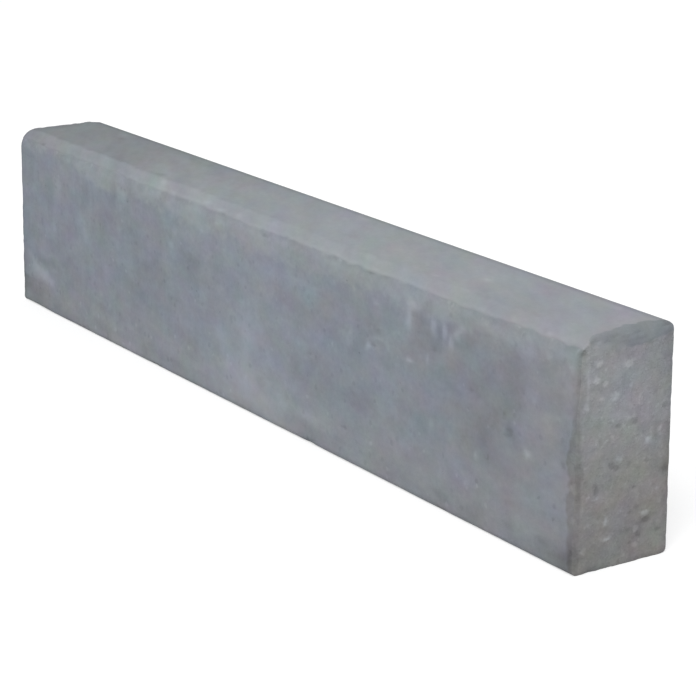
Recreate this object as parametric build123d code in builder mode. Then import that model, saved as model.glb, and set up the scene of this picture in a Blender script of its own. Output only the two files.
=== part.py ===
from build123d import *
import os

# Driving dimensions, in millimetres.
# The stone stands on its bed with its length along X, the road face towards -Y
# and the back towards +Y. The origin is the middle of the bed.
length = 1000.0  # from butt end to butt end
width = 100.0  # from road face to back, measured at the bed
height = 200.0  # from the bed to the flat top
road_face_lean = 2.0  # how far the road face has leaned back when it reaches the top
road_edge_radius = 20.0  # the large round between the road face and the top
back_edge_radius = 3.0  # easing of the long edge between the top and the back
bed_edge_radius = 5.0  # rounding of the two long edges of the bed
end_edge_radius = 1.0  # slight easing round each butt end

half_width = width / 2
half_length = length / 2

# Corners of the section before they are rounded, seen from the right-hand butt end.
bed_front_corner = (-half_width, 0)
bed_back_corner = (half_width, 0)
top_back_corner = (half_width, height)
top_front_corner = (road_face_lean - half_width, height)


# The kerb stone, cast as one piece: its section carried along the whole length,
# with every edge of the two butt ends eased.
with BuildPart() as kerb_stone:
    with BuildSketch(Plane.YZ) as section:
        with BuildLine():
            Polyline(
                bed_front_corner,
                bed_back_corner,
                top_back_corner,
                top_front_corner,
                close=True,
            )
        make_face()
        bed_corners = section.vertices().group_by(Axis.Y)[0]
        fillet(bed_corners, radius=bed_edge_radius)
        road_edge_corner = section.vertices().group_by(Axis.Y)[-1].sort_by(Axis.X)[0]
        fillet(road_edge_corner, radius=road_edge_radius)
        back_edge_corner = section.vertices().group_by(Axis.Y)[-1].sort_by(Axis.X)[-1]
        fillet(back_edge_corner, radius=back_edge_radius)
    extrude(amount=half_length, both=True)
    end_faces = kerb_stone.faces().filter_by(Axis.X)
    fillet(end_faces.edges(), radius=end_edge_radius)

kerb_stone.part.label = "kerb_stone"

os.makedirs("parts", exist_ok=True)
export_step(kerb_stone.part, "parts/kerb_stone.step")
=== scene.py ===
import math

import bpy
import numpy as np
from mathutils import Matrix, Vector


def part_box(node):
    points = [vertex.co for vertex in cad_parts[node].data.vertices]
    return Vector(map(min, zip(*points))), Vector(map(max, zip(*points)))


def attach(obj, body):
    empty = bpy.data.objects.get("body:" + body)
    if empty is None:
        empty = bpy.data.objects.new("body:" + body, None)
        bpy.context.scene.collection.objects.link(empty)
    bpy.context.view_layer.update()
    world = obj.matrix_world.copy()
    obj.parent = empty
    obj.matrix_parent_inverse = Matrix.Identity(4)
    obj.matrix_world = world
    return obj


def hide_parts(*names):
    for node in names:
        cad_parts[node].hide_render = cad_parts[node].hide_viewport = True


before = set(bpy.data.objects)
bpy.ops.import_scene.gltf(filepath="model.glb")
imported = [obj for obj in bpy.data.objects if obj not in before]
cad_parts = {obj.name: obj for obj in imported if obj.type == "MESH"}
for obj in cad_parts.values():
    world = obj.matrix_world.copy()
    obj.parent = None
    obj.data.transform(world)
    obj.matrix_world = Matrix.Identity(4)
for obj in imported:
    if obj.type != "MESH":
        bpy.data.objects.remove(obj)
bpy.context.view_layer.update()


# The kerb stone: one piece of dense grey concrete, pressed into a steel mould and tamped
# from above. The mould walls leave the long faces smooth, the tamper leaves the pale top
# and the line under the road edge, and the butt ends show the coarse core of the mix.

# Lengths in this section's arrays are millimetres. x runs along the stone, y from the road
# face to the back, z up from the bed, and the mesh is turned into metres at the end.
mm = 0.001
stone_low, stone_high = (np.array(corner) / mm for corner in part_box("kerb_stone"))
half_length, half_width, half_height = (stone_high - stone_low) / 2
middle_height = (stone_high[2] + stone_low[2]) / 2
bed, top = stone_low[2], stone_high[2]
road_face, back = -half_width, half_width
road_face_lean = 2.0
road_edge_radius = 20.0
back_edge_radius = 3.0
bed_edge_radius = 5.0
end_edge_radius = 1.0
tiny = 1e-9  # keeps a division by a vanishing length safe


def cuts(marks):
    """Positions from the first mark to the last. Each mark is a place and the number of equal steps from it
    to the next mark."""
    places, counts = zip(*marks)
    spans = [np.linspace(a, b, n, endpoint=False) for a, b, n in zip(places, places[1:], counts)]
    return np.concatenate(spans + [places[-1:]])


def stone_lattice():
    """The outer layer of a box of cuts along x, y and z: its points, and its faces as four point numbers.

    The cuts are closest at the edges, at the tamper's line and towards the near butt end. Every sheet of
    the layer is a grid whose two directions turn outwards by the right-hand rule."""
    edge_strip = 8
    along = cuts(
        [
            (-half_length, 2),
            (-half_length + end_edge_radius, 3),
            (-half_length + edge_strip, 20),
            (-440, 250),
            (380, 54),
            (half_length - edge_strip, 5),
            (half_length - end_edge_radius, 2),
            (half_length, 0),
        ]
    )
    across = cuts(
        [
            (road_face, 2),
            (road_face + end_edge_radius, 2),
            (road_face + bed_edge_radius, 7),
            (road_face + road_edge_radius + road_face_lean, 28),
            (back - back_edge_radius, 2),
            (back - end_edge_radius, 2),
            (back, 0),
        ]
    )
    up = cuts(
        [
            (bed, 2),
            (bed + end_edge_radius, 2),
            (bed + bed_edge_radius, 6),
            (20, 60),
            (180, 4),
            (188, 7),
            (196, 1),
            (top - back_edge_radius, 2),
            (top - end_edge_radius, 2),
            (top, 0),
        ]
    )
    x, y, z = np.meshgrid(along, across, up, indexing="ij")
    outer = np.zeros(x.shape, bool)
    outer[[0, -1]] = outer[:, [0, -1]] = outer[:, :, [0, -1]] = True
    number = np.full(x.shape, -1)
    number[outer] = np.arange(outer.sum())
    sheets = (number[-1], number[0].T, number[:, -1].T, number[:, 0], number[:, :, -1], number[:, :, 0].T)
    faces = [np.stack([s[:-1, :-1], s[1:, :-1], s[1:, 1:], s[:-1, 1:]], -1).reshape(-1, 4) for s in sheets]
    return np.stack([x[outer], y[outer], z[outer]], 1), np.concatenate(faces)


def ease_ends(points):
    """Rounds the edges of the two butt ends.

    A point t from the end and w under the section's outline has the offset (r - t, r - w) from the
    edge's round, cut off at zero. The offset is stretched to length r, which moves the point along x
    and in or out across the section."""
    x, y, z = points.T
    r = end_edge_radius
    z = z - middle_height
    t = half_length - np.abs(x)
    w = np.minimum(half_width - np.abs(y), half_height - np.abs(z))
    end_part = np.maximum(r - t, 0)
    side_part = np.maximum(r - w, 0)
    stretch = r / np.maximum(np.hypot(end_part, side_part), tiny)
    depth = np.where(side_part > 0, r - side_part * stretch, w)
    x = np.where(end_part > 0, np.sign(x) * (half_length - r + end_part * stretch), x)
    y = y * (half_width - depth) / (half_width - w)
    z = z * (half_height - depth) / (half_height - w) + middle_height
    return np.stack([x, y, z], 1)


def round_section(points):
    """Rounds the four long edges and leans the road face.

    In each corner square of side r, a point at offset v from the square's inner corner moves to
    v * max(v) / |v|, so the outer sides of the square become the arc. The lean then shifts y by
    lean * z / height at the road face, fading to nothing at the back."""
    x, y, z = points.T
    rounds = (
        (-1, 1, road_edge_radius),
        (1, 1, back_edge_radius),
        (-1, -1, bed_edge_radius),
        (1, -1, bed_edge_radius),
    )
    for side_y, side_z, r in rounds:
        inner_y = side_y * (half_width - r)
        inner_z = middle_height + side_z * (half_height - r)
        v_y = (y - inner_y) * side_y
        v_z = (z - inner_z) * side_z
        in_square = (v_y > 0) & (v_z > 0)
        share = np.where(in_square, np.maximum(v_y, v_z) / np.maximum(np.hypot(v_y, v_z), tiny), 1)
        y = np.where(in_square, inner_y + side_y * v_y * share, y)
        z = np.where(in_square, inner_z + side_z * v_z * share, z)
    y = y + road_face_lean * (z - bed) / (top - bed) * (back - y) / (back - road_face)
    return np.stack([x, y, z], 1)


def cloud(points, size, seed):
    """Value noise from -1 to 1: every corner of a grid of cubes holds a random value, and a point
    blends the eight corners round it by the smoothstep of its place in the cube. The random value is the
    corner's place and the seed, multiplied by large primes and folded over to 32 bits."""
    cell_primes, seed_prime = (73856093, 19349663, 83492791), 2654435761
    first_prime, second_prime, all_bits = 2246822519, 3266489917, 0xFFFFFFFF
    place = points / size
    cell = np.floor(place).astype(np.int64)
    share = place - cell
    share = share * share * (3 - 2 * share)
    total = np.zeros(len(place))
    for corner in np.ndindex(2, 2, 2):
        mixed = ((cell + corner) * cell_primes).sum(1) + seed * seed_prime
        mixed = (mixed ^ (mixed >> 15)) * first_prime & all_bits
        mixed = (mixed ^ (mixed >> 13)) * second_prime & all_bits
        weight = np.where(corner, share, 1 - share).prod(1)
        total += weight * (2 * (mixed ^ (mixed >> 16)) / all_bits - 1)
    return total


def clouds(points, parts):
    """Sum of clouds: amount * cloud(points, size, seed) for each part."""
    return sum(amount * cloud(points, size, seed) for amount, size, seed in parts)


def step(value, low, high):
    """Smoothstep: 0 up to low, 1 from high, and 3t^2 - 2t^3 between."""
    t = np.clip((value - low) / (high - low), 0, 1)
    return t * t * (3 - 2 * t)


def spots(u, v, places):
    """Sum of soft spots: strength * exp(-((u - u0) / half_u)^2 - ((v - v0) / half_v)^2) for each place."""
    total = np.zeros(len(u))
    for u0, v0, half_u, half_v, strength in places:
        total += strength * np.exp(-(((u - u0) / half_u) ** 2) - ((v - v0) / half_v) ** 2)
    return total


def strew(draws, count, *ranges):
    """Random places for spots: a column of evenly spread draws for each range of place, half size and
    strength."""
    return np.stack([draws.uniform(low, high, count) for low, high in ranges], 1)


def wear_edge(points, under_p, under_q, out_p, out_q, reach_p, reach_q, power):
    """Wears a right-angled edge over and returns the new points.

    p and q are the edge's two faces: a point lies under_p beneath one of them, out_p is the way out of it,
    and reach_p is how far in from it the wear goes.
    u = 1 - under_p / reach_p and v = 1 - under_q / reach_q are 1 at the edge and 0 where the wear ends.
    Points with u^power + v^power over 1 shrink towards u = v = 0 until the sum is 1."""
    u = np.clip(1 - under_p / reach_p, 0, 1)
    v = np.clip(1 - under_q / reach_q, 0, 1)
    size = (u**power + v**power) ** (1 / power)
    shrink = np.where(size > 1, 1 - 1 / np.maximum(size, 1), 0)
    moved_p = (reach_p * u * shrink)[:, None] * np.array(out_p)
    moved_q = (reach_q * v * shrink)[:, None] * np.array(out_q)
    return points - (moved_p + moved_q)


def break_off(points, middle, facing, along, reach_along, reach_across, depth, rough, seed):
    """Breaks a shallow bowl out of the skin and returns the new points.

    t is a point's height over the middle along the facing direction, a and c its distances along and
    across the bowl. The height is cut down to -depth * (1 - (a / reach_along)^2 - (c / reach_across)^2)
    plus a rough surface, wherever it stands above that."""
    facing = np.array(facing, float) / np.linalg.norm(facing)
    along = np.array(along, float)
    from_middle = points - middle
    t = from_middle @ facing
    a = from_middle @ along
    c = np.linalg.norm(from_middle - t[:, None] * facing - a[:, None] * along, axis=1)
    ceiling = -depth * (1 - (a / reach_along) ** 2 - (c / reach_across) ** 2)
    ceiling += rough * clouds(points, ((1, 5, seed), (0.5, 2.5, seed + 1)))
    return points + np.minimum(ceiling - t, 0)[:, None] * facing


lattice, stone_faces = stone_lattice()
sound = round_section(ease_ends(lattice))
stone_mesh = bpy.data.meshes.new("kerb_stone_cast")
stone_mesh.from_pydata(sound, [], stone_faces)
outward = np.empty(len(sound) * 3, np.float32)
stone_mesh.vertex_normals.foreach_get("vector", outward)
outward = outward.reshape(-1, 3).astype(float)

x, y, z = sound.T
lengthwise = np.stack([x, 0 * x, 0 * x], 1)
inward_y = y - road_face
on_end = step(np.abs(outward[:, 0]), 0.5, 0.85)
on_bed = step(-outward[:, 2], 0.5, 0.9)
on_road_side = (1 - step(outward[:, 1], 0.3, 0.7)) * (1 - on_bed) * (1 - on_end)
on_front = step(-outward[:, 1], 0.2, 0.4) * (1 - on_end)
near_end = on_end * (x > 0)
far_end = on_end * (x < 0)
on_back = step(outward[:, 1], 0.6, 0.9) * (1 - on_end)

# The girth is the way from the bed up the road face, round the road edge and back over the top.
round_y = np.maximum(road_edge_radius + road_face_lean - inward_y, 0)
round_z = np.maximum(z - (top - road_edge_radius), 0)
flat_y = np.maximum(inward_y - road_edge_radius - road_face_lean, 0)
girth = np.minimum(z, top - road_edge_radius) + road_edge_radius * np.arctan2(round_z, round_y) + flat_y
girth = girth * (1 - on_bed)

# The tamper's lower edge left a slightly ragged line along the road edge, and cement
# slurry ran down from it over the road face in a paler strip with a few drips. tamped and slurry are
# how far a point lies above the line and above the strip's lower border.
tamper_line = 190.4
strip_end = 174.0
line_height = tamper_line + clouds(lengthwise, ((0.8, 70, 11), (0.9, 14, 12), (0.85, 6, 15)))
line_height += step(x, 300, 420)
top_side = inward_y < back - road_face - back_edge_radius - 0.5
tamped = np.where(top_side, girth - line_height, 20 * (z - (top - 2)))
strip_bottom = strip_end + clouds(lengthwise, ((2.5, 45, 13), (2, 13, 14)))
strip_bottom += 5 * step(np.abs(x - 30), 260, 470) - 3 * step(-np.abs(x), -200, -80)
strip_bottom += 7 * step(-x, 310, 400)
slurry = np.where(inward_y < half_width, girth - strip_bottom, -20)

# Behind the pale road edge the far part of the top is darker. Its share rises slowly towards the far
# end and, past a slanting border, quickly.
edge_strip_end = 207
behind = step(tamped + 1.5 * cloud(sound, 12, 19), 13.0, 18.0)
border = step(-x - 0.5 * (girth - edge_strip_end) + 12 * cloud(sound, 30, 18), 215, 300)
veiled = behind * (0.40 * border + 0.60 * step(-x, -250, 480)) + (1 - behind) * 0.36 * step(-x, 100, 480)

# Worn edges of the near butt end. Its top edge is rolled over from the road edge to the
# back, and its upright road-side edge is crushed, both by handling. Each reach is how far the
# wear goes in from the edge at the marks beside it, and a cloudy factor makes its border jagged.
across_marks = (0, 10.5, 12.5, 20, 36, 56, 71, 88, 96, 101)
roll_on_top = (0.1, 0.1, 3, 7, 11, 14, 16.5, 15, 11, 8)
roll_on_end = (0.1, 0.1, 9, 13, 15, 15, 14, 12, 9, 7)
jagged = 1 + clouds(sound, ((0.16, 11, 30), (0.16, 5, 31)))
roll_reach_top = np.interp(inward_y, across_marks, roll_on_top) * jagged
roll_reach_end = np.interp(inward_y, across_marks, roll_on_end) * jagged
fade = 0.10 + 0.25 * step(inward_y, 46, 60)
from_end = half_length - x
rolled = np.minimum(roll_reach_top - from_end, fade * (roll_reach_end - (top - z)))
up_marks = (0, 20, 50, 85, 104, 118, 140, 150, 170, 187, 191, 193)
crush_on_face = (5, 8, 9, 10, 11, 9, 5.5, 4.5, 4.5, 5, 2.5, 0.1)
crush_on_end = (3.5, 4, 5.5, 7, 5.5, 4, 3, 7, 8.5, 8.5, 5, 0.1)
jagged = 1 + clouds(sound, ((0.22, 12, 32), (0.22, 4.5, 33)))
crush_reach_face = np.interp(z, up_marks, crush_on_face) * jagged
crush_reach_end = np.interp(z, up_marks, crush_on_end) * jagged
from_road_face = inward_y - road_face_lean * z / top
crushed = np.minimum(crush_reach_face - from_end, crush_reach_end - from_road_face)

# Relief of the sound skin along the outward direction: slow waves all over, the lip of material that the
# tamper pushed up at its line, and the coarser butt ends and bed.
mean_relief, lip_height = 0.2, 0.35
relief = mean_relief + clouds(sound, ((0.12, 170, 1), (0.07, 38, 2), (0.03, 9, 6)))
tamper_lip = step(tamped, -0.4, 0.7) * np.exp(-np.maximum(tamped, 0) / 7) * on_road_side
relief += tamper_lip * (lip_height + 0.25 * cloud(sound, 11, 3))
coarse = (on_end + 0.4 * on_bed) * (1 - step(rolled, -0.5, 1))
relief += coarse * (clouds(sound, ((0.25, 14, 4), (0.25, 6, 5))) - 0.15)

# Pits in the road face, by their place along x and up the girth, half sizes and depth.
face_pits = (
    (-450, 192, 6, 2.5, 0.9),
    (-345, 178, 4, 2.5, 0.7),
    (-230, 124, 5, 3, 0.8),
    (-115, 131, 4, 2.5, 0.6),
    (-75, 150, 8, 2.5, 0.5),
    (25, 186, 6, 2, 0.7),
    (34, 45, 5, 2.5, 0.7),
    (107, 89, 4.5, 2.2, 0.9),
    (165, 33, 7, 2, 0.8),
    (178, 58, 3, 2.5, 0.7),
    (190, 129, 4.5, 3, 0.6),
    (211, 124, 5, 2.5, 1.0),
    (204, 189, 6, 1.6, 0.7),
    (221, 85, 4, 2.5, 0.6),
    (281, 152, 5, 2, 0.8),
    (305, 143, 5, 2.5, 0.7),
    (312, 14, 5, 3, 0.5),
    (358, 121, 5, 3, 0.9),
    (343, 66, 4, 3, 0.5),
    (412, 99, 5, 4, 1.2),
    (407, 94, 5, 2, 0.8),
    (429, 138, 3, 3.5, 0.8),
    (483, 90, 5, 4, 0.9),
    (463, 16, 6, 3.5, 0.5),
)

# Pits and stones of the near butt end, by their place across and up.
end_pits = (
    (44, 121, 4, 2.2, 1.1),
    (62, 122, 4, 2.4, 1.1),
    (38, 88, 4, 2.2, 1.4),
    (44, 85, 4, 2.2, 1.4),
    (23, 69, 2.6, 5, 1.2),
    (63, 65, 3, 2, 1.0),
    (59, 44, 3, 2, 0.7),
    (76, 34, 5, 2.4, 1.3),
    (69, 23, 4, 3.5, 1.0),
    (90, 23, 4, 2.2, 1.0),
    (60, 17, 3, 2, 0.8),
    (96, 75, 5, 4, 1.0),
)
end_stones = (
    (22, 177, 4, 3, 0.7),
    (53, 173, 4.5, 3.2, 1.0),
    (21, 162, 3.5, 3, 0.4),
    (26, 147, 3, 2.5, 0.7),
    (40, 147, 6, 4.5, 0.6),
    (66, 140, 4, 4, 0.4),
    (24, 131, 5, 2, 0.5),
    (58, 127, 3.5, 2.5, 0.7),
    (50, 121, 4.5, 3, 0.35),
    (22, 110, 3, 5.5, 0.35),
    (66, 107, 3, 2.5, 0.5),
    (77, 104, 3.5, 4, 0.6),
    (88, 110, 2, 4, 0.45),
    (48, 94, 6, 2.5, 0.4),
    (22, 62, 4, 2, 0.5),
    (33, 41, 3, 4, 0.8),
    (75, 40, 4, 3, 1.0),
    (35, 26, 5, 2, 0.7),
)
pits = spots(x, girth, face_pits) * on_front + spots(inward_y, z, end_pits) * near_end
stones = spots(inward_y, z, end_stones) * near_end

# Smaller pits and stones strewn over both butt ends at random.
strewn = np.random.default_rng(20)
strewn_count = 130
strewn_ranges = (4, 96), (4, 184), (1.6, 3.0), (1.6, 3.0), (-0.5, 0.35)
for side in (-1, 1):
    places = strew(strewn, strewn_count, *strewn_ranges)
    strewn_field = spots(inward_y, z, places) * on_end * (x * side > 0)
    pits += np.maximum(-strewn_field, 0)
    stones += np.maximum(strewn_field, 0)

# The back has a few air holes too, and pale dabs and damp stains lie over it and the far end.
hidden = np.random.default_rng(31)
back_hole_count, back_mark_count, far_mark_count = 36, 90, 18
back_holes = strew(hidden, back_hole_count, (-490, 490), (8, 190), (2.6, 5.0), (2.2, 3.2), (0.6, 1.2))
back_marks = strew(hidden, back_mark_count, (-490, 490), (5, 195), (5, 45), (4, 24), (-0.13, 0.14))
far_marks = strew(hidden, far_mark_count, (0, 100), (0, 195), (6, 30), (5, 20), (-0.12, 0.07))
pits += spots(x, z, back_holes) * on_back

# A thin flake has come off the road face at the far lower corner.
flake_height, flake_depth = 33, 0.8
flake_edge = flake_height + clouds(sound, ((1.5, 16, 16), (0.8, 6, 17)))
flake = step(flake_edge - z, 0, 2.5) * step(-x, 425, 472) * on_front
stone_relief, pit_relief = 0.6, 0.8
relief += stone_relief * stones - pit_relief * pits - flake_depth * flake
worn = sound + outward * relief[:, None]
upright, level, along_x, to_road = (0, 0, 1), (0, 1, 0), (1, 0, 0), (0, -1, 0)
roll_power, crush_power = 1.8, 1.25
reaches = roll_reach_top, roll_reach_end
worn = wear_edge(worn, from_end, top - z, along_x, upright, *reaches, roll_power)
reaches = crush_reach_face, crush_reach_end
worn = wear_edge(worn, from_end, from_road_face, along_x, to_road, *reaches, crush_power)

# Chips along the other edges, each with its middle, the way it faces, the way it runs, its reach along
# and across, its depth and its roughness.
right, left = half_length, -half_length
chips = (
    ((right, road_face, 86), (1, -1, 0), upright, 14, 7, 5.5, 0.6),
    ((right, road_face, 104), (1, -1, 0), upright, 9, 6, 5.0, 0.5),
    ((right, back, 74), (1, 1, 0), upright, 7, 4, 0.5, 0.2),
    ((right, -32, 0), (1, 0, -1), level, 6, 4, 0.8, 0.3),
    ((left, back, top), (-1, 1, 1), along_x, 26, 21, 8.2, 0.3),
    ((left, 20, 0), (-1, 0, -1), level, 16, 6, 1.8, 0.6),
    ((left, back, 60), (-1, 1, 0), upright, 20, 7, 2.6, 0.5),
    ((105, road_face, 0), (0, -1, -1), along_x, 22, 6, 3.2, 0.4),
    ((-190, road_face, 0), (0, -1, -1), along_x, 26, 6, 2.9, 0.4),
    ((320, road_face, 0), (0, -1, -1), along_x, 15, 5, 2.8, 0.4),
    ((60, back, 0), (0, 1, -1), along_x, 24, 7, 4.2, 0.6),
    ((-410, back, 0), (0, 1, -1), along_x, 14, 6, 3.8, 0.6),
    ((250, back, 0), (0, 1, -1), along_x, 9, 6, 3.4, 0.6),
)
first_chip_seed = 40
for number, chip in enumerate(chips):
    worn = break_off(worn, *chip, first_chip_seed + 2 * number)

# Every sharp edge of the butt ends is nibbled a little by handling.
from_middle = np.abs(sound - (0, 0, middle_height))
to_faces = np.sort((half_length, half_width, half_height) - from_middle, axis=1)
at_edge = np.exp(-(((to_faces[:, 0] + to_faces[:, 1]) / 3) ** 2))
at_edge *= step(np.abs(x), half_length - 8, half_length - 4)
nibble = at_edge * np.clip(0.1 + clouds(sound, ((0.5, 12, 80), (0.4, 5, 81))), 0, 1)
nibble *= (1 - step(rolled, -1, 0.5)) * (1 - step(crushed, -1, 0.5))
worn = worn - outward * nibble[:, None]
worn[:, 2] = np.maximum(worn[:, 2], bed)
flake_freshness = 1.4
broken = np.linalg.norm(worn - (sound + outward * relief[:, None]), axis=1) + flake_freshness * flake

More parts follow.
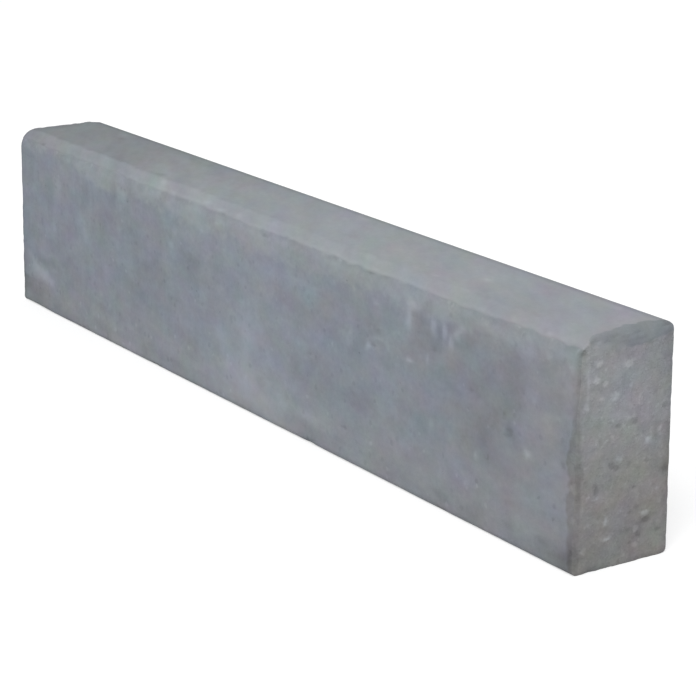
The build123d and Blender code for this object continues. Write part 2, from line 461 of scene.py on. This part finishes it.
# Paler and darker marks that the casting and the damp ground left, and a few of painted shade and painted
# highlight along the tamper's line and the crushed edge, by place and half size, as shares of the tone.
# The first table runs along x and up the girth.
skin_marks = (
    (-420, 245, 190, 60, -0.03),
    (-392, 263, 7, 5, -0.08),
    (-408, 273, 8, 5, 0.06),
    (-208, 210, 9, 4, -0.10),
    (-170, 262, 60, 22, -0.04),
    (312, 240, 6, 4, 0.10),
    (275, 212, 5, 3.5, 0.08),
    (332, 207, 6, 4, 0.07),
    (442, 277, 7, 5, 0.08),
    (72, 276, 8, 5, 0.06),
    (115, 228, 8, 5, -0.03),
    (-185, 201, 7, 4, 0.09),
    (-155, 194, 5, 2, 0.10),
    (-90, 196, 9, 2.5, 0.09),
    (-62, 194, 7, 2, 0.08),
    (-30, 196, 7, 3, 0.13),
    (25, 198, 12, 4, 0.06),
    (187, 203, 8, 5, 0.07),
    (205, 195, 8, 1.5, 0.06),
    (455, 195, 4, 2.5, 0.12),
    (488, 197, 12, 3, 0.09),
    (-405, 186, 75, 6, -0.015),
    (-64, 179, 6, 2, 0.14),
    (-56, 182, 5, 2, 0.08),
    (-160, 181, 7, 4, 0.10),
    (-215, 181, 12, 2.5, 0.06),
    (-335, 176, 20, 4, 0.05),
    (-410, 155, 6, 5, 0.10),
    (-416, 135, 8, 22, 0.04),
    (-348, 115, 13, 12, 0.05),
    (-342, 107, 5, 4, 0.09),
    (-420, 102, 5, 9, 0.05),
    (-265, 130, 5, 7, 0.08),
    (-264, 158, 4, 7, 0.07),
    (-256, 172, 6, 3, 0.08),
    (-155, 139, 4.5, 3.5, 0.14),
    (-148, 153, 3.5, 4, 0.08),
    (-198, 115, 6, 6, 0.05),
    (-160, 95, 8, 14, 0.04),
    (-5, 82, 17, 26, 0.09),
    (-52, 68, 10, 12, 0.05),
    (-20, 40, 40, 18, 0.06),
    (36, 30, 34, 14, 0.06),
    (62, 26, 9, 4, 0.10),
    (104, 27, 24, 6, 0.12),
    (-44, 40, 5, 4, 0.08),
    (10, 24, 18, 5, 0.05),
    (170, 118, 6, 7, 0.13),
    (172, 140, 5, 6, 0.07),
    (174, 127, 5, 2.5, 0.16),
    (203, 122, 3, 4, 0.24),
    (221, 132, 8, 2, 0.14),
    (233, 130, 3, 6, 0.08),
    (215, 164, 6, 3, 0.10),
    (222, 143, 4, 2, 0.09),
    (268, 125, 6, 2.5, 0.30),
    (295, 133, 2.5, 4, 0.16),
    (267, 163, 5, 11, 0.24),
    (274, 176, 9, 5, 0.15),
    (303, 164, 4, 9, 0.19),
    (318, 162, 3, 6, 0.25),
    (329, 156, 4, 6, 0.27),
    (337, 165, 5, 4, 0.22),
    (344, 171, 5, 3, 0.14),
    (383, 182, 12, 4, 0.09),
    (370, 163, 5, 4, 0.06),
    (385, 167, 4, 2.5, 0.09),
    (405, 178, 12, 4, 0.06),
    (303, 74, 3, 7, 0.12),
    (368, 66, 3, 3, 0.18),
    (354, 36, 4, 3, 0.12),
    (437, 88, 4, 3.5, 0.27),
    (444, 134, 4, 4, 0.09),
    (476, 126, 5, 4, 0.10),
    (462, 175, 4, 10, 0.06),
    (489, 173, 4, 5, 0.10),
    (500, 100, 75, 60, 0.05),
    (-278, 19, 4, 2.5, 0.14),
    (460, 45, 40, 20, 0.03),
    (100, 14, 30, 8, -0.12),
    (112, 5, 7, 3, -0.12),
    (155, 17, 11, 5, -0.08),
    (228, 36, 10, 14, -0.04),
    (140, 65, 50, 14, -0.05),
    (82, 66, 9, 7, -0.04),
    (178, 108, 16, 9, -0.05),
    (220, 140, 4, 3, -0.09),
    (313, 158, 4, 12, -0.12),
    (305, 144, 6, 4, -0.08),
    (285, 164, 7, 9, -0.11),
    (355, 160, 12, 8, -0.07),
    (392, 122, 40, 40, -0.065),
    (372, 86, 26, 18, -0.055),
    (415, 135, 14, 22, -0.06),
    (412, 99, 8, 6, -0.08),
    (388, 104, 14, 8, -0.04),
    (375, 22, 14, 6, -0.03),
    (320, 13, 10, 5, -0.10),
    (360, 11, 24, 6, -0.08),
    (418, 16, 9, 4, -0.08),
    (463, 17, 9, 5, -0.08),
    (492, 10, 14, 16, -0.20),
    (497, 20, 7, 12, -0.14),
    (-210, 12, 8, 6, -0.10),
    (-185, 14, 20, 7, -0.08),
    (-145, 14, 24, 6, -0.10),
    (-108, 13, 4, 4, -0.07),
    (-240, 135, 10, 14, -0.06),
    (-232, 104, 9, 14, -0.06),
    (-216, 72, 13, 7, -0.06),
    (-225, 90, 40, 40, -0.04),
    (-200, 136, 9, 4, -0.06),
    (-180, 130, 10, 24, -0.04),
    (-128, 120, 22, 30, -0.04),
    (-104, 108, 7, 14, -0.06),
    (-70, 128, 8, 11, -0.07),
    (-110, 50, 22, 9, -0.05),
    (-115, 30, 14, 4, -0.05),
    (-14, 167, 8, 4, -0.09),
    (-5, 134, 3, 4, -0.06),
    (-325, 122, 8, 8, -0.07),
    (-340, 155, 15, 8, -0.06),
    (-278, 168, 6, 14, -0.06),
    (-435, 140, 10, 20, -0.04),
    (-455, 87, 10, 5, -0.06),
    (-305, 36, 10, 4, -0.07),
    (-310, 13, 14, 5, -0.07),
    (-345, 24, 10, 4, -0.05),
    (-440, 57, 20, 5, -0.08),
    (-380, 50, 40, 18, -0.05),
    (-430, 14, 60, 14, -0.06),
    (-488, 24, 12, 12, -0.08),
    (-497, 34, 5, 34, -0.12),
    (-471, 50, 9, 8, 0.14),
    (-461, 44, 10, 8, 0.15),
    (-445, 41, 14, 7, 0.17),
    (-428, 36, 9, 6, 0.16),
    (-15, 60, 90, 70, 0.06),
    (60, 90, 130, 90, 0.015),
    (20, 20, 110, 25, 0.04),
    (-280, 50, 60, 25, 0.02),
    (-120, 45, 60, 20, 0.02),
    (-75, 22, 80, 22, 0.05),
    (-40, 158, 190, 24, 0.045),
    (455, 60, 40, 50, -0.03),
    (494, 196, 10, 5, -0.05),
    (400, 188, 60, 4, -0.045),
    (255, 187, 60, 4, -0.02),
    (470, 8, 22, 8, -0.15),
    (436, 7, 34, 6, -0.06),
    (465, 24, 22, 12, -0.05),
    # Along the tamper's line: a painted highlight on its lip and painted shade just under it.
    (165, 191.5, 150, 1.6, 0.025),
    (165, 185, 150, 4, -0.02),
    (-255, 200, 70, 8, -0.022),
    (-255, 186, 70, 5, -0.025),
    (296, 28, 23, 9, 0.05),
    (366, 68, 26, 20, -0.045),
    (486, 124, 9, 16, 0.05),
    (486, 184, 8, 9, -0.05),
    (46, 56, 28, 11, 0.05),
    (46, 162, 34, 18, 0.05),
    (-400, 124, 26, 14, 0.05),
    (-412, 20, 34, 10, 0.05),
    (-438, 56, 22, 12, -0.05),
    (-489, 60, 6, 22, -0.05),
    (432, 22, 30, 18, -0.03),
    (446, 190, 28, 8, -0.045),
    (486, 164, 10, 20, 0.06),
    (474, 168, 14, 10, 0.03),
    (487, 86, 9, 30, -0.055),
    (274, 94, 18, 18, 0.055),
    (198, 172, 26, 14, 0.06),
    (174, 190, 18, 12, 0.03),
    (168, 90, 38, 12, 0.06),
    (184, 7, 24, 6, 0.06),
    (130, 28, 26, 22, 0.095),
    (10, 76, 18, 18, 0.045),
    (-10, 96, 20, 18, 0.055),
    (-16, 6, 32, 6, -0.06),
    (-112, 94, 52, 28, 0.065),
    (-168, 20, 52, 14, 0.08),
    (-188, 154, 26, 14, 0.05),
    (-196, 42, 36, 18, 0.05),
    (-250, 8, 28, 8, 0.10),
    (-256, 22, 45, 9, 0.04),
    (-232, 274, 40, 9, -0.05),
    (-282, 279, 36, 8, -0.06),
    (-358, 266, 26, 16, 0.05),
    (-372, 174, 32, 12, 0.065),
    (-490, 243, 7, 24, -0.11),
    # Dabs of painted shade just under the tamper's line.
    (28, 187, 14, 2, -0.06),
    (135, 188, 12, 1.6, -0.05),
    (200, 188, 8, 1.6, -0.06),
    (-130, 189, 16, 1.6, -0.05),
    (-60, 189, 9, 1.6, -0.05),
    (488, 182, 13, 12, -0.07),
    (486, 120, 12, 14, -0.045),
    (483, 108, 12, 12, -0.045),
    (484, 92, 8, 7, -0.035),
    (485, 62, 9, 8, -0.02),
    (487, 46, 10, 10, -0.05),
    (484, 31, 12, 8, -0.04),
    (476, 16, 14, 9, -0.045),
    (174, 186, 16, 6, 0.05),
    (-342, 244, 20, 10, 0.045),
    (336, 162, 12, 12, -0.045),
    (-454, 184, 18, 6, -0.045),
    (-412, 162, 18, 10, 0.045),
)
end_marks = (
    (50, 0, 75, 45, -0.10),
    (2, 14, 5, 16, -0.16),
    (4, 78, 3, 14, -0.10),
    (96, 76, 6, 8, -0.04),
    (18, 2, 12, 4, -0.16),
    (72, 2, 16, 3, -0.12),
    (57, 188, 7, 1.8, -0.05),
    (80, 188, 9, 2, -0.06),
    (94, 190, 4, 5, -0.10),
    (6, 190, 3.5, 2.5, -0.22),
    # A painted highlight along the edge of the crushed facet.
    (10, 168, 1.6, 20, 0.18),
    (2, 168, 3, 24, 0.05),
    (1, 95, 2, 50, 0.06),
    (6, 80, 3, 16, -0.06),
    (7, 122, 6, 8, -0.05),
    (13, 16, 8, 9, -0.06),
    (60, 181, 45, 5, -0.04),
    (94, 190, 6, 9, -0.06),
    (18, 165, 24, 30, 0.05),
    (92, 168, 18, 30, -0.05),
    (22, 192, 10, 6, 0.08),
    (75, 175, 25, 7, 0.04),
    (70, 115, 30, 4, -0.04),
    (98, 95, 4, 80, -0.12),
    (4, 105, 3, 11, 0.05),
    (72, 4, 10, 5, 0.05),
    (41, 90, 12, 8, 0.04),
    (12, 197, 16, 4, 0.04),
    (9, 143, 6, 9, -0.05),
    (46, 53, 9, 12, 0.04),
    (88, 17, 9, 9, 0.04),
    (86, 110, 11, 9, -0.04),
    (48, 4, 24, 5, 0.12),
    (89, 5, 10, 5, 0.05),
    (97, 34, 4, 10, -0.05),
    (69, 95, 16, 11, -0.06),
    (93, 92, 12, 18, -0.03),
    (16, 61, 12, 10, -0.06),
    (47, 118, 12, 8, 0.05),
    (32, 197, 24, 4, 0.04),
    (15, 184, 9, 9, -0.05),
    (68, 151, 8, 9, -0.05),
    (51, 14, 8, 8, 0.04),
    (87, 65, 12, 22, -0.04),
    (70, 189, 24, 3, 0.04),
    (91, 174, 10, 18, -0.05),
    (97, 172, 3, 14, -0.06),
    (97, 94, 4, 14, -0.05),
    (26, 157, 18, 12, -0.05),
    (35, 60, 40, 5, 0.03),
    (65, 30, 14, 10, -0.06),
)
wobble_reach, wobble_size = 2.2, 9
wobble = wobble_reach * np.stack([cloud(sound, wobble_size, seed) for seed in (90, 91, 92)], 1)
skin_mark_strength, end_mark_strength = 1.5, 1.2

# Painted shade lies under the tamper's line, where its lip would cast a shadow, and a painted highlight
# over it along the rounded road edge. The outer rims are darker.
painted_shade_under_line_tone, painted_highlight_over_line_tone, painted_highlight_band_tone = 0.13, 0.08, 0.06
roll_tone, flake_tone, far_rim_tone, top_slope_tone, back_rim_tone = 0.12, 0.06, 0.14, 0.03, 0.17
# Painted shade just under the tamper's line.
painted_shade_under_line = step(-tamped, -0.3, 0.8) * np.exp(-((np.minimum(tamped, 0) / 5) ** 2)) * on_front
painted_shade_under_line *= 1 + cloud(sound, 13, 34)
# A painted highlight on the rounded road edge over the tamper's line, brightest just above it.
painted_highlight_over_line = step(tamped, -0.3, 0.8) * (1 - behind) * on_road_side * (1 - 0.4 * step(-x, 100, 330))
tone = (
    skin_mark_strength * spots(x + wobble[:, 0], girth + wobble[:, 2], skin_marks) * on_road_side
    + end_mark_strength * spots(inward_y + 0.6 * wobble[:, 1], z + 0.6 * wobble[:, 2], end_marks) * near_end
    + spots(x + wobble[:, 0], z + wobble[:, 2], back_marks) * on_back
    + spots(inward_y + wobble[:, 1], z + wobble[:, 2], far_marks) * far_end
    + (painted_highlight_band_tone + painted_highlight_over_line_tone * np.exp(-(((tamped - 2.2) / 2.6) ** 2))) * painted_highlight_over_line
    - painted_shade_under_line_tone * painted_shade_under_line
    - top_slope_tone * step(girth, 245, 280) * on_road_side
    - back_rim_tone * step(girth, 278.5, 285) * on_road_side
    - far_rim_tone * step(-x, 494, 499) * on_road_side
    - roll_tone * step(inward_y, 20, 60) * step(rolled, -0.5, 1)
    - flake_tone * flake
)

stone_mesh.vertices.foreach_set("co", (worn * mm).ravel())
stone_mesh.polygons.foreach_set("use_smooth", np.ones(len(stone_faces), bool))
skin_fields = {
    "tone": tone,
    "butt": on_end,
    "tamped": tamped,
    "slurry": slurry,
    "broken": broken,
    "veiled": veiled,
    "rolled": rolled,
    "crushed": crushed,
    "stones": stones,
    "pits": pits,
}
for name, values in skin_fields.items():
    field = stone_mesh.attributes.new(name, "FLOAT", "POINT")
    field.data.foreach_set("value", values.astype(np.float32))
stone_mesh.update()
stone_mesh.validate()


def add(tree, kind, inputs=(), **settings):
    """Adds a node with its settings. inputs pairs a socket's name or number with a value or with the output
    of another node."""
    made = tree.nodes.new(kind)
    for key, value in settings.items():
        setattr(made, key, value)
    for key, value in dict(inputs).items():
        if isinstance(value, bpy.types.NodeSocket):
            tree.links.new(value, made.inputs[key])
        else:
            made.inputs[key].default_value = value
    return made


def calc(tree, operation, *values):
    """One Math node's result."""
    return add(tree, "ShaderNodeMath", enumerate(values), operation=operation).outputs[0]


def plus(tree, start, parts):
    """The start plus the sum of each variation times its amount."""
    for variation, amount in parts:
        start = calc(tree, "ADD", start, calc(tree, "MULTIPLY", variation, amount))
    return start


def smooth(tree, value, low, high, low_result=0.0, high_result=1.0):
    """Smoothstep of value from low to high, between the two results."""
    names = {"Value": value, "From Min": low, "From Max": high, "To Min": low_result, "To Max": high_result}
    return add(tree, "ShaderNodeMapRange", names, interpolation_type="SMOOTHSTEP").outputs["Result"]


def paint(tree, share, under, over):
    """The colour under, covered by the colour over by that share."""
    return add(tree, "ShaderNodeMix", {0: share, 6: under, 7: over}, data_type="RGBA").outputs[2]


def noise(tree, place, size, detail=3.0):
    """Soft noise from -0.5 to 0.5, whose largest clouds are that many metres across."""
    names = {"Vector": place, "Scale": 1 / size, "Detail": detail, "Roughness": 0.55}
    return calc(tree, "SUBTRACT", add(tree, "ShaderNodeTexNoise", names).outputs[0], 0.5)


def effect(name, inputs, outputs):
    """A shader node group with named sockets: its tree, its inputs and its outputs."""
    tree = bpy.data.node_groups.new(name, "ShaderNodeTree")
    for label, kind, default in inputs:
        socket = tree.interface.new_socket(label, in_out="INPUT", socket_type=kind)
        if default is not None:
            socket.default_value = default
    for label, kind in outputs:
        tree.interface.new_socket(label, in_out="OUTPUT", socket_type=kind)
    return tree, tree.nodes.new("NodeGroupInput").outputs, tree.nodes.new("NodeGroupOutput").inputs


def use(tree, group, inputs):
    """Places a group in a tree and returns its outputs."""
    return add(tree, "ShaderNodeGroup", inputs, node_tree=group).outputs


def make_pinholes():
    """Air holes left against the mould: a round hole about the point of some cells of a Voronoi pattern."""
    tree, given, result = effect(
        "pinholes",
        [
            ("Place", "NodeSocketVector", None),
            ("Spacing", "NodeSocketFloat", 0.01),
            ("Share", "NodeSocketFloat", 0.3),
            ("Radius", "NodeSocketFloat", 0.12),
        ],
        [("Hole", "NodeSocketFloat")],
    )
    scale = calc(tree, "DIVIDE", 1.0, given["Spacing"])
    cells = add(tree, "ShaderNodeTexVoronoi", {"Vector": given["Place"], "Scale": scale})
    pick = add(tree, "ShaderNodeSeparateColor", {0: cells.outputs["Color"]})
    chosen = calc(tree, "LESS_THAN", pick.outputs[0], given["Share"])
    wide = calc(tree, "MULTIPLY", given["Radius"], calc(tree, "ADD", pick.outputs[1], 0.5))
    inside = smooth(tree, calc(tree, "DIVIDE", cells.outputs["Distance"], wide), 1.0, 0.4)
    tree.links.new(calc(tree, "MULTIPLY", inside, chosen), result["Hole"])
    return tree


def make_grit():
    """Sand and small stones in the mix.

    Stone is 1 inside a cell and 0 in the mortar between, for the chosen share of cells. Tone is the
    cell's random value."""
    tree, given, result = effect(
        "grit",
        [
            ("Place", "NodeSocketVector", None),
            ("Size", "NodeSocketFloat", 0.006),
            ("Share", "NodeSocketFloat", 0.4),
        ],
        [("Stone", "NodeSocketFloat"), ("Tone", "NodeSocketFloat")],
    )
    scale = calc(tree, "DIVIDE", 1.0, given["Size"])
    shift = add(tree, "ShaderNodeTexNoise", {"Vector": given["Place"], "Scale": scale, "Detail": 2.0})
    bent = add(tree, "ShaderNodeVectorMath", {0: shift.outputs["Color"], 3: 0.6}, operation="SCALE")
    scaled = add(tree, "ShaderNodeVectorMath", {0: given["Place"], 3: scale}, operation="SCALE")
    place = add(tree, "ShaderNodeVectorMath", {0: scaled.outputs[0], 1: bent.outputs[0]}, operation="ADD")
    cells = add(tree, "ShaderNodeTexVoronoi", {"Vector": place.outputs[0], "Scale": 1.0})
    pick = add(tree, "ShaderNodeSeparateColor", {0: cells.outputs["Color"]})
    chosen = calc(tree, "LESS_THAN", pick.outputs[0], given["Share"])
    inside = smooth(tree, cells.outputs["Distance"], 0.50, 0.22)
    tree.links.new(calc(tree, "MULTIPLY", inside, chosen), result["Stone"])
    tree.links.new(pick.outputs[1], result["Tone"])
    return tree


pinholes, grit = make_pinholes(), make_grit()

# Colours of the skin and of the core: next to the mould, next to the tamper, worn and broken.
mould_colour = (0.272, 0.301, 0.347, 1)
warm_mould_colour = (0.277, 0.285, 0.312, 1)
low_mould_colour = (0.283, 0.301, 0.327, 1)
slurry_colour = (0.299, 0.325, 0.354, 1)
tamped_colour = (0.280, 0.301, 0.324, 1)
warm_tamped_colour = (0.280, 0.290, 0.318, 1)
veiled_colour = (0.205, 0.223, 0.238, 1)
core_colour = (0.330, 0.341, 0.362, 1)
low_core_colour = (0.287, 0.287, 0.284, 1)
worn_colour = (0.230, 0.251, 0.273, 1)
crushed_colour = (0.196, 0.200, 0.200, 1)
pale_stone_colour = (0.430, 0.445, 0.460, 1)

concrete = bpy.data.materials.new("cast_concrete")
concrete.use_nodes = True
tree = concrete.node_tree
tree.nodes.clear()
place = add(tree, "ShaderNodeTexCoord").outputs["Object"]
spread = add(tree, "ShaderNodeSeparateXYZ", {0: place}).outputs
field = {name: add(tree, "ShaderNodeAttribute", attribute_name=name).outputs["Fac"] for name in skin_fields}

# Widths of the variations, in metres, from the finest grain to the widest clouds.
grain_width, speckle_width, ragged_width, run_width = 0.0015, 0.0045, 0.008, 0.012
blotch_width, hue_width, patch_width, cloud_width = 0.018, 0.024, 0.040, 0.150
grain = noise(tree, place, grain_width)
speckle = noise(tree, place, speckle_width)
# The cloudy marks are drawn out slantwise over the top, 2.6 times as long as wide.
slant_angle, slant_stretch = math.radians(-33), 2.6
slant = {"Vector": place, "Rotation": (0, 0, slant_angle), "Scale": (slant_stretch, 1.0, 1.0)}
drawn = add(tree, "ShaderNodeMapping", slant, vector_type="TEXTURE").outputs[0]
ragged = noise(tree, drawn, ragged_width, 4.0)
# Bleed water left upright runs in the far part of the road face.
run_squash = 0.22
squashed = {"Vector": place, "Scale": (1.0, 1.0, run_squash)}
upright_place = add(tree, "ShaderNodeMapping", squashed).outputs[0]
far_part = smooth(tree, spread[0], 0.10, -0.25, 0.2, 1.0)
runs = calc(tree, "MULTIPLY", noise(tree, upright_place, run_width), far_part)
blotches = noise(tree, drawn, blotch_width)
patches = noise(tree, drawn, patch_width)
wide_clouds = noise(tree, place, cloud_width)
hues = noise(tree, place, patch_width, 2.0)
holes = use(tree, pinholes, {"Place": place, "Spacing": 0.021, "Share": 0.32, "Radius": 0.045})["Hole"]
flecks = use(tree, grit, {"Place": place, "Size": 0.007, "Share": 0.22})
sand = use(tree, grit, {"Place": place, "Size": 0.0034, "Share": 0.55})
gravel = use(tree, grit, {"Place": place, "Size": 0.009, "Share": 0.30})


def edged(name, low, high, wobble, rough=ragged):
    """A mask that rises where the skin's field passes from low to high, its edge made ragged by noise."""
    return smooth(tree, plus(tree, field[name], ((rough, wobble),)), low, high)


def toned(share):
    """A random tone of the grit about zero, inside its stones."""
    return calc(tree, "MULTIPLY", share["Stone"], calc(tree, "SUBTRACT", share["Tone"], 0.45))


# What the skin is at each place, as masks from 0 to 1.
is_core = edged("butt", 0.35, 0.65, 0.6)
is_tamped = edged("tamped", -0.8, 0.8, 2.0)
is_slurry = edged("slurry", -10.0, 5.0, 16.0)
is_broken = edged("broken", 0.5, 1.6, 1.2)
is_rolled = edged("rolled", -0.3, 0.9, 2.0)
is_crushed = edged("crushed", -2.4, 1.8, 3.0)
is_stone = edged("stones", 0.08, 0.62, 0.9, speckle)
is_pit = edged("pits", 0.15, 0.95, 1.4, speckle)

# The colour, painted from the moulded faces over the top and the core to the worn edges. It is warmer
# towards the near end and less blue low down.
warmth = smooth(tree, plus(tree, spread[0], ((hues, 0.5),)), 0.15, 0.55)
colour = paint(tree, plus(tree, warmth, ((hues, 1.2),)), mould_colour, warm_mould_colour)
colour = paint(tree, smooth(tree, spread[2], 0.075, 0.012, 0.0, 0.9), colour, low_mould_colour)
colour = paint(tree, is_slurry, colour, slurry_colour)
top_colour = paint(tree, warmth, tamped_colour, warm_tamped_colour)
top_colour = paint(tree, field["veiled"], top_colour, veiled_colour)
colour = paint(tree, is_tamped, colour, top_colour)
core = paint(tree, smooth(tree, spread[2], 0.060, 0.150), low_core_colour, core_colour)
core = paint(tree, calc(tree, "MULTIPLY", is_stone, 0.85), core, pale_stone_colour)
colour = paint(tree, is_core, colour, core)
colour = paint(tree, calc(tree, "MULTIPLY", is_broken, 0.25), colour, crushed_colour)
crushed_share = calc(tree, "MULTIPLY", is_crushed, smooth(tree, spread[2], 0.165, 0.105, 0.35, 0.78))
colour = paint(tree, crushed_share, colour, crushed_colour)
colour = paint(tree, calc(tree, "MULTIPLY", is_rolled, 0.9), colour, worn_colour)

# The shade, a factor near 1 on that colour. The crushed edge shows the core, and the rolled edge doesn't.
is_core = calc(tree, "MAXIMUM", is_core, calc(tree, "MULTIPLY", is_crushed, 0.8))
is_core = calc(tree, "MULTIPLY", is_core, calc(tree, "SUBTRACT", 1.0, is_rolled))
not_core = calc(tree, "SUBTRACT", 1.0, is_core)
on_mould = calc(tree, "MULTIPLY", not_core, calc(tree, "SUBTRACT", 1.0, is_tamped))
mould_shade = plus(
    tree,
    0.0,
    (
        (is_slurry, 0.065),
        (speckle, 0.08),
        (blotches, 0.16),
        (patches, 0.12),
        (runs, 0.16),
        (toned(flecks), 0.30),
    ),
)
core_shade = plus(
    tree,
    0.0,
    (
        (toned(sand), 0.12),
        (toned(gravel), 0.42),
        (speckle, 0.18),
        (ragged, 0.14),
        (blotches, 0.12),
    ),
)
far_top = calc(tree, "MULTIPLY", is_tamped, smooth(tree, spread[0], 0.05, -0.30))
shade = plus(
    tree,
    1.0,
    (
        (field["tone"], 1.0),
        (grain, 0.10),
        (speckle, 0.10),
        (ragged, 0.16),
        (blotches, 0.16),
        (patches, 0.22),
        (wide_clouds, 0.14),
        (mould_shade, on_mould),
        (plus(tree, 0.0, ((blotches, 0.12), (patches, 0.12))), far_top),
        (core_shade, is_core),
    ),
)
# Pits and air holes are darkened by painted shade in their hollows.
painted_pit_shade = plus(tree, 0.16, ((is_core, 0.10),))
kept_in_pits = calc(tree, "SUBTRACT", 1.0, calc(tree, "MULTIPLY", is_pit, painted_pit_shade))
shade = calc(tree, "MULTIPLY", shade, kept_in_pits)
open_holes = calc(tree, "MULTIPLY", holes, plus(tree, 0.25, ((on_mould, 0.75),)))
shade = calc(tree, "MULTIPLY", shade, smooth(tree, open_holes, 0.0, 1.0, 1.0, 0.84))
colour = add(tree, "ShaderNodeVectorMath", {0: colour, 3: shade}, operation="SCALE").outputs[0]

# The hue strays a little from place to place.
hue_swing = 0.22
hue_noise = {"Vector": drawn, "Scale": 1 / hue_width, "Detail": 2.5}
mixed_hues = add(tree, "ShaderNodeTexNoise", hue_noise).outputs["Color"]
around_white = {0: mixed_hues, 1: (hue_swing,) * 3, 2: (1 - hue_swing / 2,) * 3}
tint = add(tree, "ShaderNodeVectorMath", around_white, operation="MULTIPLY_ADD")
colour = add(tree, "ShaderNodeVectorMath", {0: colour, 1: tint.outputs[0]}, operation="MULTIPLY").outputs[0]

# The finest relief, in millimetres: proud sand in the core, air holes, grain and broken edges.
core_height = calc(tree, "MULTIPLY", is_core, plus(tree, sand["Stone"], ((speckle, 1.4),)))
grain_height = plus(tree, 0.10, ((is_core, 0.14),))
ragged_height = plus(tree, 0.15, ((is_broken, 0.8),))
heights = ((core_height, 0.11), (open_holes, -0.6), (grain, grain_height), (ragged, ragged_height))
height = plus(tree, 0.0, heights)
bump = add(tree, "ShaderNodeBump", {"Strength": 1.0, "Distance": mm, "Height": height})

skin_roughness, skin_gloss = 0.84, 0.35
roughness = plus(tree, skin_roughness, ((patches, 0.20), (is_core, 0.10)))
surface = add(
    tree,
    "ShaderNodeBsdfPrincipled",
    {
        "Base Color": colour,
        "Roughness": roughness,
        "Normal": bump.outputs[0],
        "Specular IOR Level": skin_gloss,
    },
)
add(tree, "ShaderNodeOutputMaterial", {"Surface": surface.outputs[0]})

kerb_stone_cast = bpy.data.objects.new("kerb_stone_cast", stone_mesh)
bpy.context.scene.collection.objects.link(kerb_stone_cast)
stone_mesh.materials.append(concrete)
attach(kerb_stone_cast, "root")
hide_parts("kerb_stone")


# The floor: a plain pale studio floor. It looks white to the camera and still takes the
# stone's soft shadow, and it throws only a little light back on the stone.
floor_half_size = 12.0
floor_grey = (0.5, 0.5, 0.5, 1)
floor_white = (1, 1, 1, 1)
floor_glow = 0.60


def seen_directly(tree):
    """1 where a ray comes from the camera, off a mirror or through glass, and 0 where it only lights."""
    ray = add(tree, "ShaderNodeLightPath").outputs
    seen = calc(tree, "MAXIMUM", ray["Is Camera Ray"], ray["Is Glossy Ray"])
    return calc(tree, "MAXIMUM", seen, ray["Is Transmission Ray"])


floor_mesh = bpy.data.meshes.new("floor")
floor_corners = floor_half_size * np.array([(-1, -1, 0), (1, -1, 0), (1, 1, 0), (-1, 1, 0)])
floor_mesh.from_pydata(floor_corners, [], [(0, 1, 2, 3)])
floor = bpy.data.objects.new("floor", floor_mesh)
bpy.context.scene.collection.objects.link(floor)

floor_material = bpy.data.materials.new("pale_floor")
floor_material.use_nodes = True
tree = floor_material.node_tree
tree.nodes.clear()
matt_floor = add(tree, "ShaderNodeBsdfDiffuse", {"Color": floor_grey}).outputs[0]
white_floor = add(tree, "ShaderNodeEmission", {"Color": floor_white, "Strength": floor_glow}).outputs[0]
seen_floor = add(tree, "ShaderNodeAddShader", {0: matt_floor, 1: white_floor}).outputs[0]
floor_shader = add(tree, "ShaderNodeMixShader", {0: seen_directly(tree), 1: matt_floor, 2: seen_floor})
add(tree, "ShaderNodeOutputMaterial", {"Surface": floor_shader.outputs[0]})
floor_mesh.materials.append(floor_material)


# The light: an even pale sky, white where the camera sees it, one large soft lamp above and in
# front of the corner between the road face and the near butt end, and a weak low one behind.
sky_colour = (1, 1, 1, 1)
sky_strength = 0.56
lamp_distance = 10.0
# name, azimuth and elevation in degrees, size in metres, power in watts
lamps = (
    ("soft_lamp", 42, 50, 5.6, 540.0),
    ("weak_back_lamp", 200, 14, 3.6, 150.0),
)

world = bpy.data.worlds.new("pale_sky")
bpy.context.scene.world = world
world.use_nodes = True
tree = world.node_tree
tree.nodes.clear()
strength = plus(tree, sky_strength, ((seen_directly(tree), 1 - sky_strength),))
sky = add(tree, "ShaderNodeBackground", {"Color": sky_colour, "Strength": strength})
add(tree, "ShaderNodeOutputWorld", {"Surface": sky.outputs[0]})


def away(azimuth, elevation):
    """Unit direction from the stone. Azimuth 0 points to -y and turns towards +x, and elevation rises from
    the floor."""
    flat = math.cos(elevation)
    return np.array([math.sin(azimuth) * flat, -math.cos(azimuth) * flat, math.sin(elevation)])


for lamp_name, azimuth, elevation, lamp_size, lamp_power in lamps:
    azimuth, elevation = math.radians(azimuth), math.radians(elevation)
    lamp_data = bpy.data.lights.new(lamp_name, "AREA")
    lamp_data.shape = "DISK"
    lamp_data.size = lamp_size
    lamp_data.energy = lamp_power
    lamp = bpy.data.objects.new(lamp_name, lamp_data)
    lamp.location = lamp_distance * away(azimuth, elevation)
    lamp.rotation_euler = (math.pi / 2 - elevation, 0, azimuth)
    bpy.context.scene.collection.objects.link(lamp)


# The camera: a long lens that looks along the stone from the near butt end, a little from above.
# The picture is the lower part of a wider frame, so its middle is shifted off the lens's axis.
view_azimuth = math.radians(56.922)
view_elevation = math.radians(14.383)
view_place = (1.8725, -1.1902, 0.7297)
focal_length, film_width = 121.015, 36.0
shift_right, shift_up = 0.0435, -0.1423
camera_data = bpy.data.cameras.new("camera")
camera_data.lens = focal_length
camera_data.sensor_width = film_width
camera_data.shift_x = shift_right
camera_data.shift_y = shift_up
camera = bpy.data.objects.new("camera", camera_data)
camera.location = view_place
camera.rotation_euler = (math.pi / 2 - view_elevation, 0, view_azimuth)
bpy.context.scene.collection.objects.link(camera)
bpy.context.scene.camera = camera
bpy.context.scene.view_settings.view_transform = "Standard"
